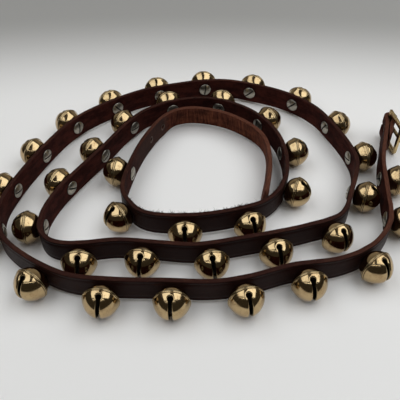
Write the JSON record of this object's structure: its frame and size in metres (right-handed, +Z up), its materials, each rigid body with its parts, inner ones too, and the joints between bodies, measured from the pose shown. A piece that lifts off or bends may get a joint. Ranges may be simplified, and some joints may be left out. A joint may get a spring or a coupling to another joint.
{
  "type": "sleigh bell strap",
  "caption": "Leather harness strap standing on edge in a loose coil, with a row of brass crotal bells clamped to its outer side and a buckle at its outer end.",
  "frame": {"origin": "on the floor, under the middle of the strap's box", "axes": "+Z up, +X across the coil towards the buckle end, +Y towards the back of the coil"},
  "size_m": [0.39, 0.328, 0.0343],
  "materials": {
    "leather": "dark brown harness leather, satin grain side",
    "bell_brass": "polished brass with light wear",
    "buckle_brass": "satin brass",
    "pellet_iron": "rough dark iron"
  },
  "bodies": {
    "strap": {"strap": "leather", "bell_01": "bell_brass", "bell_02": "bell_brass", "bell_03": "bell_brass", "bell_04": "bell_brass", "bell_05": "bell_brass", "bell_06": "bell_brass", "bell_07": "bell_brass", "bell_08": "bell_brass", "bell_09": "bell_brass", "bell_10": "bell_brass", "bell_11": "bell_brass", "bell_12": "bell_brass", "bell_13": "bell_brass", "bell_14": "bell_brass", "bell_15": "bell_brass", "bell_16": "bell_brass", "bell_17": "bell_brass", "bell_18": "bell_brass", "bell_19": "bell_brass", "bell_20": "bell_brass", "bell_21": "bell_brass", "bell_22": "bell_brass", "bell_23": "bell_brass", "bell_24": "bell_brass", "bell_25": "bell_brass", "bell_26": "bell_brass", "bell_27": "bell_brass", "bell_28": "bell_brass", "bell_29": "bell_brass", "bell_30": "bell_brass", "bell_31": "bell_brass", "bell_32": "bell_brass", "bell_33": "bell_brass", "bell_34": "bell_brass", "bell_35": "bell_brass", "bell_36": "bell_brass", "bell_37": "bell_brass", "bell_38": "bell_brass"},
    "buckle_frame": {"buckle_frame": "buckle_brass"},
    "buckle_tongue": {"buckle_tongue": "buckle_brass"},
    "pellet_01": {"pellet_01": "pellet_iron"},
    "pellet_03": {"pellet_03": "pellet_iron"},
    "pellet_05": {"pellet_05": "pellet_iron"},
    "pellet_07": {"pellet_07": "pellet_iron"},
    "pellet_09": {"pellet_09": "pellet_iron"},
    "pellet_11": {"pellet_11": "pellet_iron"},
    "pellet_13": {"pellet_13": "pellet_iron"},
    "pellet_15": {"pellet_15": "pellet_iron"},
    "pellet_17": {"pellet_17": "pellet_iron"},
    "pellet_19": {"pellet_19": "pellet_iron"},
    "pellet_21": {"pellet_21": "pellet_iron"},
    "pellet_23": {"pellet_23": "pellet_iron"},
    "pellet_25": {"pellet_25": "pellet_iron"},
    "pellet_27": {"pellet_27": "pellet_iron"},
    "pellet_29": {"pellet_29": "pellet_iron"},
    "pellet_31": {"pellet_31": "pellet_iron"},
    "pellet_33": {"pellet_33": "pellet_iron"},
    "pellet_35": {"pellet_35": "pellet_iron"},
    "pellet_37": {"pellet_37": "pellet_iron"}
  },
  "joints": [
    {"name": "frame_hinge", "type": "hinge", "parent": "strap", "child": "buckle_frame", "pos_m": [0.18843, 0.06546, 0.0173], "axis": [0, 0, 1], "range_deg": [-9, 200]},
    {"name": "tongue_hinge", "type": "hinge", "parent": "buckle_frame", "child": "buckle_tongue", "pos_m": [0.18843, 0.06546, 0.0173], "axis": [0, 0, 1], "range_deg": [0, 100]},
    {"name": "pellet_01_rattle", "type": "slide", "parent": "strap", "child": "pellet_01", "axis": [0, 0, 1], "range_m": [0, 0.0157]},
    {"name": "pellet_03_rattle", "type": "slide", "parent": "strap", "child": "pellet_03", "axis": [0, 0, 1], "range_m": [0, 0.0157]},
    {"name": "pellet_05_rattle", "type": "slide", "parent": "strap", "child": "pellet_05", "axis": [0, 0, 1], "range_m": [0, 0.0157]},
    {"name": "pellet_07_rattle", "type": "slide", "parent": "strap", "child": "pellet_07", "axis": [0, 0, 1], "range_m": [0, 0.0157]},
    {"name": "pellet_09_rattle", "type": "slide", "parent": "strap", "child": "pellet_09", "axis": [0, 0, 1], "range_m": [0, 0.0157]},
    {"name": "pellet_11_rattle", "type": "slide", "parent": "strap", "child": "pellet_11", "axis": [0, 0, 1], "range_m": [0, 0.0157]},
    {"name": "pellet_13_rattle", "type": "slide", "parent": "strap", "child": "pellet_13", "axis": [0, 0, 1], "range_m": [0, 0.0157]},
    {"name": "pellet_15_rattle", "type": "slide", "parent": "strap", "child": "pellet_15", "axis": [0, 0, 1], "range_m": [0, 0.0157]},
    {"name": "pellet_17_rattle", "type": "slide", "parent": "strap", "child": "pellet_17", "axis": [0, 0, 1], "range_m": [0, 0.0157]},
    {"name": "pellet_19_rattle", "type": "slide", "parent": "strap", "child": "pellet_19", "axis": [0, 0, 1], "range_m": [0, 0.0157]},
    {"name": "pellet_21_rattle", "type": "slide", "parent": "strap", "child": "pellet_21", "axis": [0, 0, 1], "range_m": [0, 0.0157]},
    {"name": "pellet_23_rattle", "type": "slide", "parent": "strap", "child": "pellet_23", "axis": [0, 0, 1], "range_m": [0, 0.0157]},
    {"name": "pellet_25_rattle", "type": "slide", "parent": "strap", "child": "pellet_25", "axis": [0, 0, 1], "range_m": [0, 0.0157]},
    {"name": "pellet_27_rattle", "type": "slide", "parent": "strap", "child": "pellet_27", "axis": [0, 0, 1], "range_m": [0, 0.0157]},
    {"name": "pellet_29_rattle", "type": "slide", "parent": "strap", "child": "pellet_29", "axis": [0, 0, 1], "range_m": [0, 0.0157]},
    {"name": "pellet_31_rattle", "type": "slide", "parent": "strap", "child": "pellet_31", "axis": [0, 0, 1], "range_m": [0, 0.0157]},
    {"name": "pellet_33_rattle", "type": "slide", "parent": "strap", "child": "pellet_33", "axis": [0, 0, 1], "range_m": [0, 0.0157]},
    {"name": "pellet_35_rattle", "type": "slide", "parent": "strap", "child": "pellet_35", "axis": [0, 0, 1], "range_m": [0, 0.0157]},
    {"name": "pellet_37_rattle", "type": "slide", "parent": "strap", "child": "pellet_37", "axis": [0, 0, 1], "range_m": [0, 0.0157]}
  ]
}
